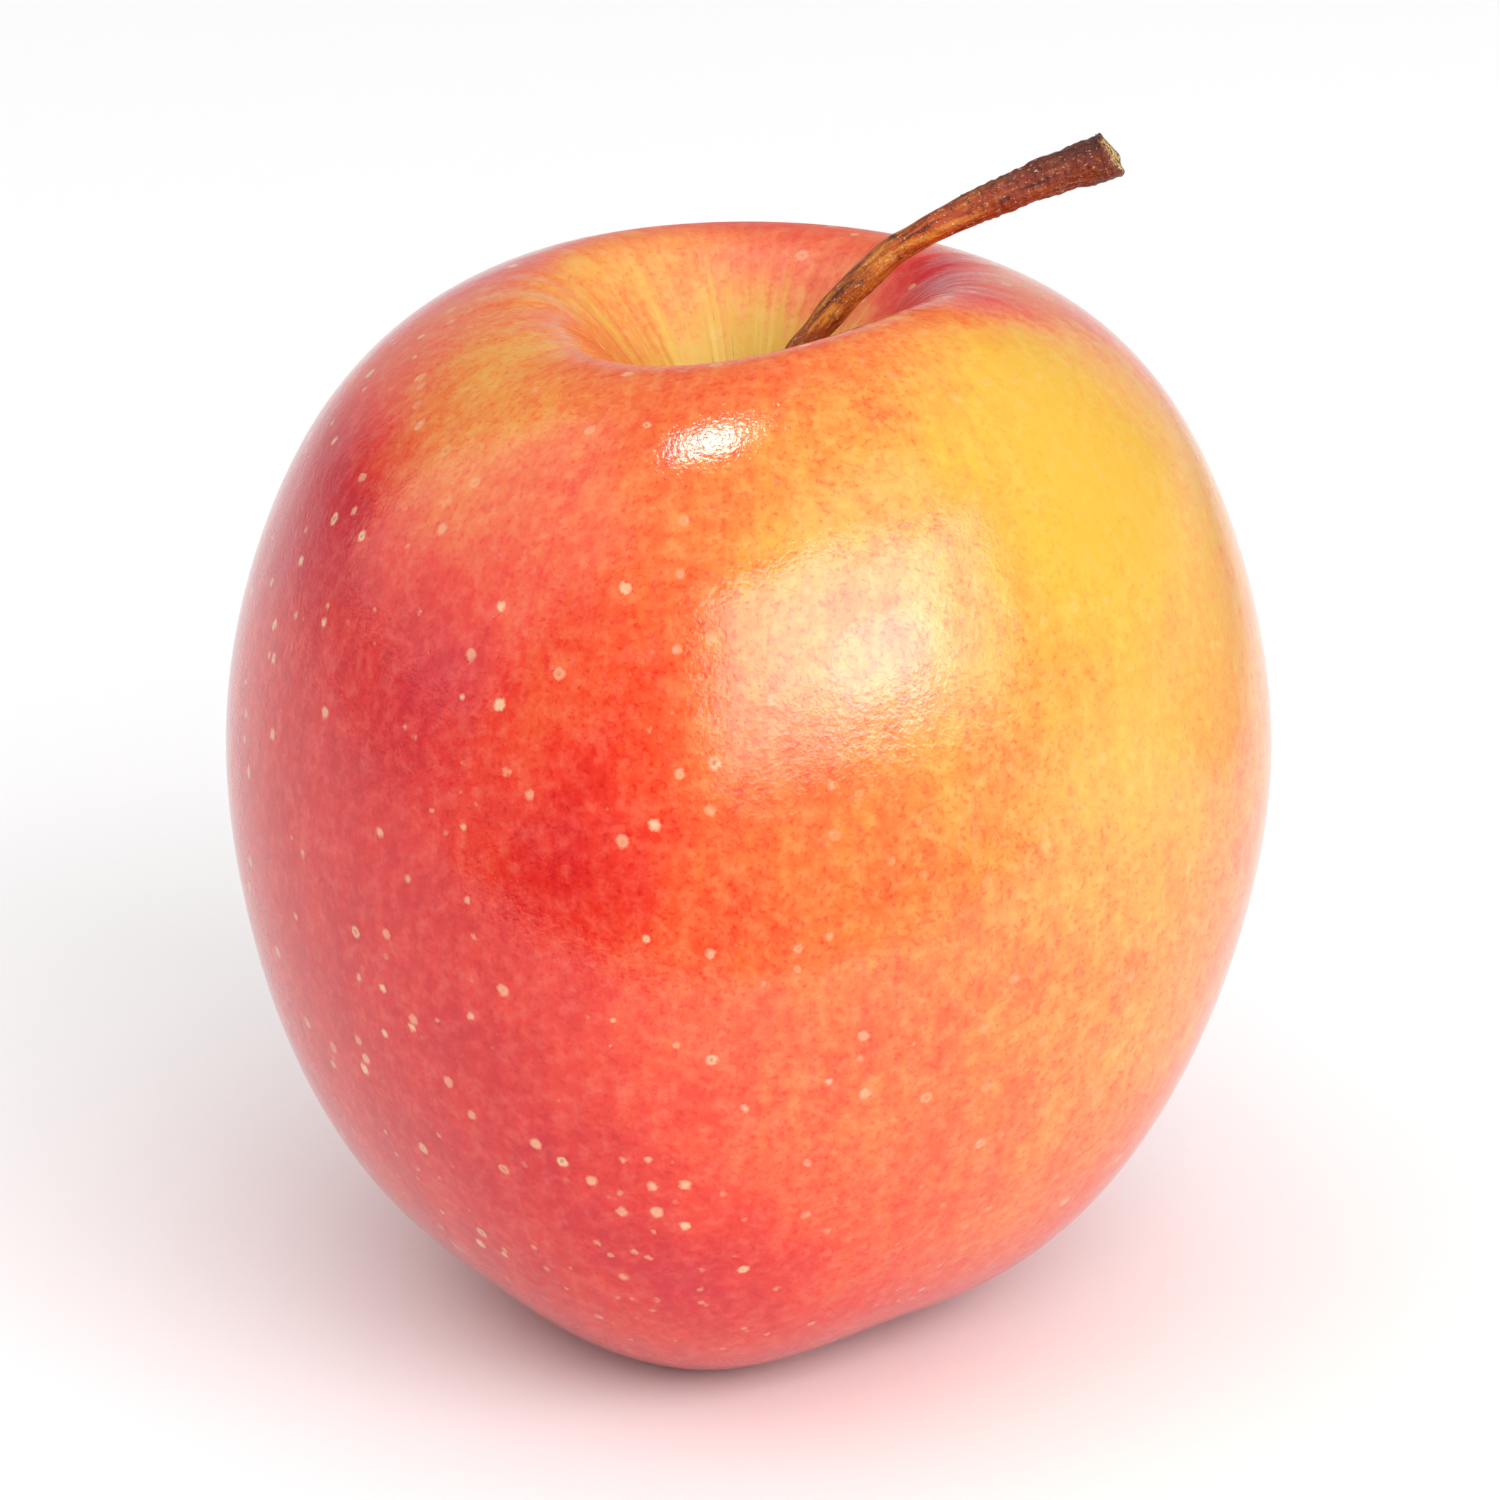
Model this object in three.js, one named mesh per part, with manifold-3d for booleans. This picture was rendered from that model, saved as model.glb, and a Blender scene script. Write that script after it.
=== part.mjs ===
// A fresh apple standing on the five knobs of its crown: the fruit, its stalk, and the dried calyx in the basin below.
// Millimetres, +Z up. Directions round the core are degrees from the front, -Y, and grow towards +X.
// The origin is on the surface that the fruit stands on, below the middle of the whole object.

import * as THREE from "three";
import { mergeVertices } from "three/addons/utils/BufferGeometryUtils.js";
import Module from "manifold-3d";

// ---- driving dimensions ----

const HEIGHT = 73.7; // from the standing surface to the shoulder
const BELLY_RADIUS = 37.5;
const BELLY_HEIGHT = 42.3;
const SHOULDER_RADIUS = 15.3; // where the shoulder is highest
const CAVITY_DEPTH = 16.6; // from the shoulder to where the stalk leaves the flesh
const CROWN_RADIUS = 11.5; // where the knobs of the crown reach lowest
const BASIN_DEPTH = 7.6; // from the knobs to the calyx

const KNOBS = 5; // one for each seed chamber
const KNOB_DIRECTION = -10; // of the knob at the front
const KNOB_SWELL = 1.0; // how far each knob stands out sideways
const KNOB_NOTCH = 1.3; // how far the crown draws up between two knobs
const FOOT_WIDTH = 2.4; // of the blunt top of each knob, across its ridge
const FOOT_PRESS = 0.2; // how much of each knob is pressed flat where it stands

// The fruit's own unevenness: how many times each wave goes round, its size, and the direction of its crest.
const BODY_WAVES = [
  { count: 1, size: 0.47, towards: -46 },
  { count: 2, size: 0.9, towards: 15 },
  { count: 3, size: 0.64, towards: -15 },
];
const FOOT_WAVES = [{ count: 2, size: 1.42, towards: -29 }];
const SHOULDER_WAVES = [
  { count: 1, size: 1.48, towards: 54 },
  { count: 2, size: 0.54, towards: 33 },
  { count: 3, size: 0.22, towards: 30 },
];

const CORE_RADIUS = 3; // inside it the fruit keeps true, for the stalk and the calyx
const UNEVEN_RADIUS = 10; // outside it the waves have their full size
const CREST_WIDTH = 4.5; // of the crown, across its ridge

const STALK_SOCKET_DEPTH = 4.0;
const STALK_SOCKET_RADIUS = 1.75;
const CALYX_SOCKET_DEPTH = 2.6;
const CALYX_SOCKET_RADIUS = 2.7;
const GAP = 0.3; // between two pieces that meet

const FRUIT_SIDES = 80;
const FRUIT_STEPS = 3; // rings between two points of the outline

// The stalk's middle line as [reach to the right, height over the shoulder, reach to the back].
const STALK_LINE = [
  [0, GAP - CAVITY_DEPTH - STALK_SOCKET_DEPTH, 0],
  [0, -CAVITY_DEPTH, 0],
  [1.5, -9.2, 0],
  [4.9, -2.8, 0],
  [9.7, 2.35, 0.1],
  [16.1, 6.05, 0.1],
  [20.5, 8.1, 0],
  [25.4, 9.95, -0.3],
];
const STALK_ROOT_RADIUS = 1.4;
const STALK_SLIM_RADIUS = 1.03;
const STALK_END_RADIUS = 1.66;
const STALK_SWELL_START = 0.66; // the share of its length where it begins to swell
const STALK_SWELL_POWER = 1.4;
const STALK_RIBS = 3;
const STALK_RIB_HEIGHT = 0.06; // as a share of the radius
const STALK_RIB_TWIST = 5; // radians, over the whole length
const PITH_DEPTH = 0.45; // how far the pith lies below the torn rim
const PITH_SHARE = 0.6; // of the end's radius
const STALK_SIDES = 14;
const STALK_RINGS = 44;

// One sepal's middle line as [radius, height]: up in the cup, down out of it, and outwards at its tip.
const SEPAL_LINE = [
  [1.35, 9.0],
  [1.75, 7.3],
  [1.95, 5.6],
  [2.9, 4.1],
  [4.5, 3.2],
];
const SEPAL_STEPS = 7;
const SEPAL_WIDTH = 2.5; // at its root
const SEPAL_NARROWING = 0.93; // of the square of its width, at its tip
const SEPAL_THICKNESS = 0.85;
const SEPAL_TIP_THICKNESS = 0.75;
const SEPAL_EDGE_SHARE = 0.8; // of its thickness, at its edges
const SEPAL_HOLLOW = 0.35; // how far its edges curl up, as a share of its half width
const SEPAL_UNEVENNESS = 0.35; // how far the tips differ in reach

const CUP_RIM = 7.7; // height of the calyx cup's open edge
const CUP_SIDES = 20;
const CUP_TAPER = 0.9;

const STAMENS = 10;
const STAMEN_RADIUS = 0.32;
const STAMEN_SIDES = 3;
const STAMEN_ROOT = 8.6; // height where they leave the cup's floor
const STAMEN_TIP = 5.0; // mean height of their tips
const STAMEN_UNEVENNESS = 0.9;
const STAMEN_SPREAD = 1.35; // how much further apart the tips stand than the roots
const GOLDEN_ANGLE = Math.PI * (3 - Math.sqrt(5)); // spreads them evenly round the middle

// ---- shared forms ----

const { degToRad, lerp, smoothstep } = THREE.MathUtils;

/** A closed solid through loops of equally many points, each end closed by a fan round the loop's middle. */
function loft(loops) {
  const sides = loops[0].length;
  const middle = (loop) => loop.reduce((sum, p) => sum.add(p), new THREE.Vector3()).divideScalar(sides);
  const points = [...loops.flat(), middle(loops[0]), middle(loops.at(-1))];
  const first = points.length - 2;
  const last = points.length - 1;
  const faces = [];
  for (let side = 0; side < sides; side++) {
    const next = (side + 1) % sides;
    faces.push(first, next, side);
    const top = (loops.length - 1) * sides;
    faces.push(last, top + side, top + next);
    for (let ring = 0; ring + 1 < loops.length; ring++) {
      const low = ring * sides;
      const high = low + sides;
      faces.push(low + side, low + next, high + next);
      faces.push(low + side, high + next, high + side);
    }
  }
  return new THREE.BufferGeometry().setFromPoints(points).setIndex(faces);
}

/** The sum of a list of waves in one direction round the core, in millimetres. */
function waveSum(waves, direction) {
  return waves.reduce(
    (sum, wave) => sum + wave.size * Math.cos(wave.count * (direction - degToRad(wave.towards))),
    0,
  );
}

// ---- the fruit ----

/** The mean outline as [radius, height], from the stalk's socket over the shoulder and under to the calyx. */
const OUTLINE = [
  [STALK_SOCKET_RADIUS, HEIGHT - CAVITY_DEPTH],
  [3.4, HEIGHT - 14.6],
  [5.6, HEIGHT - 10.6],
  [9.4, HEIGHT - 4.4],
  [SHOULDER_RADIUS, HEIGHT],
  [25.0, HEIGHT - 3.9],
  [32.5, HEIGHT - 13.1],
  [BELLY_RADIUS, BELLY_HEIGHT],
  [35.1, 24.4],
  [28.9, 11.4],
  [21.0, 3.6],
  [CROWN_RADIUS + FOOT_WIDTH / 2, -FOOT_PRESS],
  [CROWN_RADIUS - FOOT_WIDTH / 2, -FOOT_PRESS],
  [7.2, 2.6],
  [4.2, 6.2],
  [CALYX_SOCKET_RADIUS, BASIN_DEPTH],
];

/** The outline's rings in order, with the two plain sockets at its ends. */
function fruitRings() {
  const curve = new THREE.CatmullRomCurve3(
    OUTLINE.map(([radius, height]) => new THREE.Vector3(radius, height, 0)),
    false,
    "centripetal",
  );
  const stalkFloor = new THREE.Vector3(
    STALK_SOCKET_RADIUS,
    HEIGHT - CAVITY_DEPTH - STALK_SOCKET_DEPTH,
    0,
  );
  const calyxFloor = new THREE.Vector3(CALYX_SOCKET_RADIUS, BASIN_DEPTH + CALYX_SOCKET_DEPTH, 0);
  return [stalkFloor, ...curve.getPoints((OUTLINE.length - 1) * FRUIT_STEPS), calyxFloor];
}

/** One point of the skin: the mean outline, then the fruit's waves, its knobs and the flats that it stands on. */
function skinPoint(radius, height, direction) {
  const offCore = smoothstep(radius, CORE_RADIUS, UNEVEN_RADIUS);
  const low = 1 - smoothstep(height, 0, BELLY_HEIGHT);
  const high = smoothstep(height, BELLY_HEIGHT, HEIGHT);
  const knob = Math.cos(KNOBS * (direction - degToRad(KNOB_DIRECTION)));
  const onCrown = low * Math.exp(-(((radius - CROWN_RADIUS) / CREST_WIDTH) ** 2));
  const swell =
    waveSum(BODY_WAVES, direction) + low * (KNOB_SWELL * knob + waveSum(FOOT_WAVES, direction));
  const lift =
    offCore * high * waveSum(SHOULDER_WAVES, direction) + (onCrown * KNOB_NOTCH * (1 - knob)) / 2;
  const reach = radius + offCore * swell;
  return new THREE.Vector3(
    reach * Math.sin(direction),
    -reach * Math.cos(direction),
    Math.max(height + lift, 0),
  );
}

function fruitGeometry() {
  const loops = fruitRings().map(({ x: radius, y: height }) =>
    Array.from({ length: FRUIT_SIDES }, (_, side) =>
      skinPoint(radius, height, (-2 * Math.PI * side) / FRUIT_SIDES),
    ),
  );
  return loft(loops);
}

// ---- the stalk ----

/** The stalk's middle line: straight up out of the flesh, then bending over to the right. */
function stalkLine() {
  return new THREE.CatmullRomCurve3(
    STALK_LINE.map(([reach, height, back]) => new THREE.Vector3(reach, back, HEIGHT + height)),
  );
}

/** The stalk's radius at a share of its length: thick at the root, slim, then swelling to its broken end. */
function stalkRadius(share) {
  const slim = lerp(STALK_ROOT_RADIUS, STALK_SLIM_RADIUS, smoothstep(share, 0.12, 0.45));
  const swell = Math.max(0, (share - STALK_SWELL_START) / (1 - STALK_SWELL_START));
  return lerp(slim, STALK_END_RADIUS, swell ** STALK_SWELL_POWER);
}

/** A ribbed loop round the stalk's line at a share of its length, pulled back along the line. */
function stalkLoop(line, share, radius, pullBack) {
  const along = line.getTangentAt(share);
  const above = new THREE.Vector3(0, 1, 0).cross(along).normalize();
  const across = new THREE.Vector3().crossVectors(along, above);
  const centre = line.getPointAt(share).addScaledVector(along, -pullBack);
  const ribHeight = STALK_RIB_HEIGHT * smoothstep(share, 0.2, 0.6);
  return Array.from({ length: STALK_SIDES }, (_, side) => {
    const turn = (2 * Math.PI * side) / STALK_SIDES;
    const rib = Math.cos(STALK_RIBS * turn + STALK_RIB_TWIST * share);
    const ribbed = radius * (1 + ribHeight * rib);
    return centre
      .clone()
      .addScaledVector(above, ribbed * Math.cos(turn))
      .addScaledVector(across, ribbed * Math.sin(turn));
  });
}

function stalkGeometry() {
  const line = stalkLine();
  const loops = Array.from({ length: STALK_RINGS + 1 }, (_, ring) => {
    const share = ring / STALK_RINGS;
    return stalkLoop(line, share, stalkRadius(share), 0);
  });
  const rimInside = (STALK_END_RADIUS * (1 + PITH_SHARE)) / 2;
  loops.push(stalkLoop(line, 1, rimInside, PITH_DEPTH / 4));
  loops.push(stalkLoop(line, 1, STALK_END_RADIUS * PITH_SHARE, PITH_DEPTH));
  return loft(loops);
}

// ---- the calyx ----

/** One sepal as a thin blade that narrows to its tip, hollowed along its length. */
function sepalGeometry(lean) {
  const line = new THREE.CatmullRomCurve3(
    SEPAL_LINE.map(([radius, height]) => {
      const tipward = smoothstep(-height, -CUP_RIM, 0);
      return new THREE.Vector3(0, -radius - 2 * lean * tipward, height + lean * tipward);
    }),
  );
  const aside = new THREE.Vector3(1, 0, 0);
  const loops = Array.from({ length: SEPAL_STEPS + 1 }, (_, step) => {
    const share = step / SEPAL_STEPS;
    const centre = line.getPointAt(share);
    const inward = line.getTangentAt(share).cross(aside).normalize();
    const half = (SEPAL_WIDTH / 2) * Math.sqrt(1 - SEPAL_NARROWING * share ** 1.5);
    const thick = lerp(SEPAL_THICKNESS, SEPAL_TIP_THICKNESS, share);
    const edge = SEPAL_EDGE_SHARE * thick;
    const curl = SEPAL_HOLLOW * half - edge / 2;
    const section = [
      [-half, curl],
      [0, -thick / 2],
      [half, curl],
      [half, curl + edge],
      [0, thick / 2],
      [-half, curl + edge],
    ];
    return section.map(([side, up]) =>
      centre.clone().addScaledVector(aside, side).addScaledVector(inward, up),
    );
  });
  return loft(loops);
}

/** One dried stamen, a slim rod that hangs out of the calyx's cup. */
function stamenGeometry(index) {
  const direction = index * GOLDEN_ANGLE;
  const rootRadius = lerp(STAMEN_RADIUS, CALYX_SOCKET_RADIUS / 2, Math.sqrt(index / STAMENS));
  const tipHeight = STAMEN_TIP - STAMEN_UNEVENNESS * Math.sin(direction);
  const root = new THREE.Vector3(
    rootRadius * Math.cos(direction),
    rootRadius * Math.sin(direction),
    STAMEN_ROOT,
  );
  const tip = new THREE.Vector3(root.x * STAMEN_SPREAD, root.y * STAMEN_SPREAD, tipHeight);
  const rod = new THREE.CylinderGeometry(STAMEN_RADIUS, STAMEN_RADIUS, root.distanceTo(tip), STAMEN_SIDES);
  const aim = new THREE.Quaternion().setFromUnitVectors(
    new THREE.Vector3(0, 1, 0),
    tip.clone().sub(root).normalize(),
  );
  return rod.applyQuaternion(aim).translate(...root.lerp(tip, 0.5).toArray());
}

/** The short cup that the sepals and stamens grow from, sunk in its socket in the flesh. */
function calyxCupGeometry() {
  const mouthRadius = CALYX_SOCKET_RADIUS - GAP;
  const floor = BASIN_DEPTH + CALYX_SOCKET_DEPTH - GAP;
  return new THREE.CylinderGeometry(mouthRadius * CUP_TAPER, mouthRadius, floor - CUP_RIM, CUP_SIDES)
    .rotateX(Math.PI / 2)
    .translate(0, 0, (floor + CUP_RIM) / 2);
}

const wasm = await Module();
wasm.setup();

/** A manifold solid of a closed geometry, with its shared corners merged. */
function toSolid(geometry) {
  const bare = new THREE.BufferGeometry()
    .setAttribute("position", geometry.getAttribute("position"))
    .setIndex(geometry.getIndex());
  const merged = mergeVertices(bare, 1e-4);
  return new wasm.Manifold(
    new wasm.Mesh({
      numProp: 3,
      vertProperties: new Float32Array(merged.getAttribute("position").array),
      triVerts: new Uint32Array(merged.getIndex().array),
    }),
  );
}

/** The geometry of a manifold solid. */
function toGeometry(solid) {
  const { numProp, vertProperties, triVerts } = solid.getMesh();
  const positions = new Float32Array((vertProperties.length / numProp) * 3);
  for (let v = 0; v * 3 < positions.length; v++) {
    positions.set(vertProperties.subarray(v * numProp, v * numProp + 3), v * 3);
  }
  return new THREE.BufferGeometry()
    .setAttribute("position", new THREE.BufferAttribute(positions, 3))
    .setIndex(new THREE.BufferAttribute(triVerts, 1));
}

function calyxGeometry() {
  let calyx = toSolid(calyxCupGeometry());
  for (let sepal = 0; sepal < KNOBS; sepal++) {
    const lean = SEPAL_UNEVENNESS * Math.sin(sepal * GOLDEN_ANGLE);
    const direction = degToRad(KNOB_DIRECTION + (360 / KNOBS) * (sepal + 0.5));
    calyx = calyx.add(toSolid(sepalGeometry(lean).rotateZ(direction)));
  }
  for (let index = 0; index < STAMENS; index++) calyx = calyx.add(toSolid(stamenGeometry(index)));
  return toGeometry(calyx);
}

// ---- the apple ----

function piece(name, geometry, color, roughness) {
  const mesh = new THREE.Mesh(geometry, new THREE.MeshStandardMaterial({ color, roughness, metalness: 0 }));
  mesh.name = name;
  return mesh;
}

const apple = new THREE.Group();
apple.add(
  piece("fruit", fruitGeometry(), "#e4513c", 0.32),
  piece("stalk", stalkGeometry(), "#7d3a1d", 0.7),
  piece("calyx", calyxGeometry(), "#6b5236", 0.85),
);

// Stands the apple over the origin: its waves put the middle of its box a little off its core.
const box = new THREE.Box3().setFromObject(apple);
const middle = box.getCenter(new THREE.Vector3());
apple.position.set(-middle.x, -middle.y, 0);

export default apple;
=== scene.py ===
# The looks of a fresh apple: its waxy skin, woody stalk and dried calyx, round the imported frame.
# Metres, +Z up. The apple stands on z = 0 and its stalk leans towards +X.

import math
from itertools import accumulate

import bpy
import numpy as np
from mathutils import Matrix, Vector
from mathutils.geometry import interpolate_bezier
from mathutils.kdtree import KDTree
from mathutils.noise import noise as noise_at


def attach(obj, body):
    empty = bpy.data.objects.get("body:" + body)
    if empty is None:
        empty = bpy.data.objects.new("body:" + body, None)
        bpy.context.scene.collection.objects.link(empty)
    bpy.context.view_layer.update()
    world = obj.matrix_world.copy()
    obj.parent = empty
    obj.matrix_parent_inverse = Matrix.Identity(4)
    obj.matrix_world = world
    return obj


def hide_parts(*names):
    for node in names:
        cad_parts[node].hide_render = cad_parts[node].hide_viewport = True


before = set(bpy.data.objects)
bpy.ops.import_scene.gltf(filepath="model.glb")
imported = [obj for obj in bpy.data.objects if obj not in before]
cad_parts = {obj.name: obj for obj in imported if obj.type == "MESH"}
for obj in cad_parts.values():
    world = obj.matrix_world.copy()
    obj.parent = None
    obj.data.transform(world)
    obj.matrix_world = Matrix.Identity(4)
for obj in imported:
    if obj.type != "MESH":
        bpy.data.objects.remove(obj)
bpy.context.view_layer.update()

MM = 0.001

# Sizes and places from here on are in millimetres.

# ---- pieces ----

CORE = Vector((-0.085, 0.734, 0.0))  # the fruit's core line, beside the middle of the box
MID_HEIGHT = 37.0  # half way up the fruit
MERGE_DISTANCE = 0.01  # between corners of a CAD node that are one corner
FRUIT_LEVELS = 2  # of subdivision
STALK_LEVELS = 3
CALYX_LEVELS = 2

# ---- camera ----

CAMERA_DISTANCE = 600.0
CAMERA_ELEVATION = math.radians(22.15)
CAMERA_CLIP = 10.0
FRAME_WIDTH = 105.24  # of the picture, at the fruit's core
AIM_RAISE = 2.48  # the picture's middle is this far over the fruit's middle
AIM_RIGHT = 0.21
SENSOR = 36.0

# ---- floor and light ----

FLOOR_SIDE = 3000.0
FLOOR_COLOUR = "#f4f4f4"
FLOOR_ROUGHNESS = 0.9

# Each softbox: direction from the front and elevation in degrees, width and height, distance, and how
# bright its face is, where white paper in this light is about 1. A card shows in the gloss alone, and any
# other box in everything but the gloss.
SOFTBOXES = {
    "key": (29, 29, (1120, 560), 800, 3.2),
    "left_fill": (-75, 40, (900, 900), 900, 0.35),
    "ceiling": (0, 90, (3200, 3200), 900, 0.84),
    "window_card": (31, 29.2, (1206, 582), 800, 2.8),
    "curtain_card": (26, 31.5, (950, 450), 810, 2.2),
    "sheer_card": (30, 28.5, (640, 330), 820, 2.4),
    "pane_card": (35, 20, (360, 190), 830, 4.0),
    "corner_card": (21, 46, (190, 100), 840, 2.2),
    "overhead_card": (-110, 76.5, (112, 126), 700, 27),
    "left_card": (-95, 34, (1040, 880), 900, 0.9),
    "back_card": (180, 14, (1400, 260), 900, 0.3),
    "veil_card": (48, 57, (560, 300), 900, 1.2),
}
TENT_BRIGHTNESS = 0.65  # of the white tent's walls
ROOF_BRIGHTNESS = 0.22  # of its roof
ROOF_EDGE = (-0.03, 0.15)  # sines of the elevations where the walls turn into the roof
OPENING_BRIGHTNESS = 0.25  # of the tent's opening, on the camera's side
OPENING_EDGE = (0.45, 0.85)  # cosines of the angles from the opening's middle where its edge fades

# Cloths that lie on the floor round the fruit, to darken it where the gloss sees it. Their middles are
# given to the right and to the back.
FLAGS = {
    "black_flag": {"middle": (0, -775), "size": (900, 1300), "colour": "#050505"},
    "grey_flag": {"middle": (310, 285), "size": (340, 430), "colour": "#a8a8a8"},
}
FLAG_RAISE = 1.0  # over the floor

# ---- patterns ----

# A pattern is noise whose blotches have a size in millimetres. Its detail is how many times it is broken
# up finer, and a range called "between" holds the noise's values where what it draws fades in.
NOISE_ROUGHNESS = 0.6  # how strong the finer detail of every pattern is
SMOOTH = {"interpolation_type": "SMOOTHSTEP"}  # for a fade that starts and ends gently

# ---- skin ----

SHADE_SIDE = {"direction": 58, "elevation": 27}  # degrees; the side that stayed yellow
# Blush by the cosine of the angle from the shade side: 0 is yellow skin and 1 is crimson.
BLUSH_BY_ANGLE = {
    -1.00: 0.90,
    0.00: 0.89,
    0.15: 0.80,
    0.30: 0.66,
    0.50: 0.52,
    0.65: 0.44,
    0.80: 0.34,
    0.90: 0.20,
    1.00: 0.05,
}
# Patches that blush more or less: direction from the front in degrees, radius and height of the middle,
# reach across, inward and upward, and the change.
BLUSH_PATCHES = {
    "vivid_band": (-14, 36, 52, (8, 12, 18), 0.13),
    "left_shoulder": (-85, 22, 72, (18, 14, 13), -0.40),
    "front_left_shoulder": (-52, 24, 70, (14, 12, 12), -0.34),
    "pale_left_shoulder": (-49, 30, 64.5, (9, 9, 8), -0.15),
    "glow_left_of_front": (-35, 28, 68, (15, 14, 14), -0.06),
    "front_lip": (-35, 19, 73, (10, 8, 8), -0.08),
    "left_cheek": (-80, 31, 62, (15, 12, 12), 0.22),
    "vivid_front": (-6, 38, 46, (10, 12, 7), 0.07),
    "left_front_cheek": (-35, 34, 57, (8, 12, 11), 0.14),
    "left_front_belly": (-19, 38, 45, (7, 12, 12), 0.12),
    "left_base": (-16, 37, 23, (9, 12, 12), 0.03),
    "front_foot": (-3, 34, 15, (11, 12, 9), 0.17),
    # Less blush on the lip's outer slope: partly paler skin, partly a painted highlight.
    "outer_left_lip": (-104, 17, 72.5, (9, 8, 7), -0.12),
    "front_left_lip": (-70, 15, 72.4, (8, 8, 7), -0.27),
    "front_glow": (3, 34, 62, (8, 12, 11), -0.09),
    "far_left_lip": (-143, 17, 72.5, (9, 7, 7), -0.08),
    "left_lip": (-116, 13.5, 71, (9, 8, 8), -0.42),
    "back_left_wall": (-148, 13, 71, (8, 6, 5), 0.09),
    "back_right_wall": (154, 11, 71, (9, 7, 8), 0.28),
    "yellow_heart": (51, 28.5, 67, (17, 16, 14), -0.22),
    "yellow_shoulder": (52, 22, 72, (14, 8, 9), -0.15),
    "right_front_shoulder": (8, 28, 68, (12, 12, 9), -0.16),
    "upper_right_shoulder": (28, 26, 71.5, (8, 9, 6), -0.12),
    "right_lip": (45, 14, 72, (20, 6, 5), 0.45),
    "back_lip": (95, 13.5, 73.5, (14, 6, 7), 0.36),
    "back_wall_by_stalk": (112, 12, 69, (10, 9, 10), 0.32),
    "right_rim": (103, 27, 68, (9, 12, 13), 0.25),
    "right_flank": (70, 37, 46, (15, 12, 20), 0.12),
    "right_belly": (55, 37, 40, (18, 14, 15), 0.03),
    "belly_band": (28, 38, 50, (6, 12, 8), 0.07),
    "upper_right_belly": (35, 37, 53, (8, 10, 8), 0.07),
    "front_base": (5, 34, 21, (16, 12, 12), -0.08),
    "lower_right": (50, 34, 24, (20, 14, 15), -0.11),
    "right_foot": (35, 29, 13, (12, 12, 8), -0.12),
    "foot": (8, 28, 11, (28, 20, 14), -0.08),
    "cavity_wall": (180, 7, 66, (17, 14, 17), -0.70),
    "back_left_lip": (-150, 16, 73, (12, 8, 8), -0.35),
}
PATCH_DRIFT = {"size": 9.0, "detail": 2.0, "reach": 6.0}  # how the patches' edges wander
PATCH_FADE = 0.9  # of its reach, inwards from its edge, over which a patch comes to its full change
SKIN_COLOURS = {
    0.00: "#dcab3c",
    0.22: "#e09942",
    0.42: "#e27338",
    0.60: "#dd542e",
    0.75: "#db3925",
    0.90: "#cf281f",
    1.00: "#c11d1b",
}
# The deepest blush is crimson over whole patches, while its mottle stays red.
CRIMSON = {"colour": "#dc206f", "between": (0.80, 1.0), "share": 0.10}
# Mottle and how much it changes the blush.
BROAD_MOTTLE = {"size": 5.0, "detail": 2.0, "change": 0.26}
FINE_MOTTLE = {"size": 1.1, "detail": 5.0, "change": 0.38}
STREAKS = {"size": 1.4, "detail": 3.0, "change": 0.26}
# Streaks down the cavity, which fade in over a reach from its middle and narrow as it does.
CAVITY_STREAKS = {"size": 5.5, "detail": 3.0, "change": 1.2, "reach": (24, 14)}
FLECKS = {"size": 0.42, "detail": 2.0, "distortion": 0.3, "between": (0.46, 0.80), "change": 0.18}
# Where the fine mottle is thin, pale cells lighten the skin by up to a share.
PALLOR = {"colour": "#ffe0d0", "between": (0.58, 0.28), "share": 0.045}
STREAK_LENGTH = 6.0  # of a streak, against its width
SECTION_MIDDLE = (16.0, 40.0)  # radius and height that the streaks turn round, from stalk to calyx
SECTION_REACH = 27.0

# Breathing pores: spacing and largest radius, the share of places that have one, and the heights between
# which a kind comes in. The finest are drawn a little coarser than real ones, to stay visible.
PORES = {
    "large": {"spacing": 2.0, "radius": 0.60, "share": 0.94, "heights": (2, 16)},
    "low": {"spacing": 1.5, "radius": 0.40, "share": 0.75, "heights": (30, 12)},
    "small": {"spacing": 1.5, "radius": 0.20, "share": 0.40, "heights": (90, 80)},
}
PORE_LEAST = -0.2  # of the largest radius: sizes spread up from here, and one under 0 draws no pore
PORE_EDGE = 0.29  # width of a pore's soft edge
PORE_DRIFT = {"size": 0.42, "detail": 2.0, "reach": 0.42}  # makes their outlines ragged
PORE_COLOUR = "#e6c298"
PORE_STRENGTHS = (0.55, 1.0)  # of the faintest and the clearest
PORE_CONTRAST = {"blush": (0.3, 0.68), "strength": (0.15, 0.85)}  # they are faint on yellow skin
PORE_EYE = {"colour": "#a8733f", "chance": (0.2, 0.7), "edge": (0.48, 0.15), "share": 0.9}

# The hollows at the fruit's two ends are greener, and the cavity has pale seams and dark flecks.
CAVITY_GREEN = {"colour": "#cbb52e", "middle": (0, 0, 56), "reach": (19, 9), "share": 0.5}
BASIN_GREEN = {"colour": "#b59a3c", "middle": (0, 0, 9), "reach": (13, 5), "share": 0.65}
CAVITY_MARKS_REACH = (20, 12)
SEAMS = {
    "colour": "#e2c35a",
    "size": 2.0,
    "detail": 2.0,
    "squeeze": 0.35,  # along the streaks, which draws the marks out where it is under 1
    "between": (0.56, 0.70),
    "share": 0.55,
}
CAVITY_FLECKS = {
    "colour": "#5c4a1c",
    "size": 0.6,
    "detail": 2.0,
    "squeeze": 2.0,
    "between": (0.66, 0.76),
    "share": 0.6,
}

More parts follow.
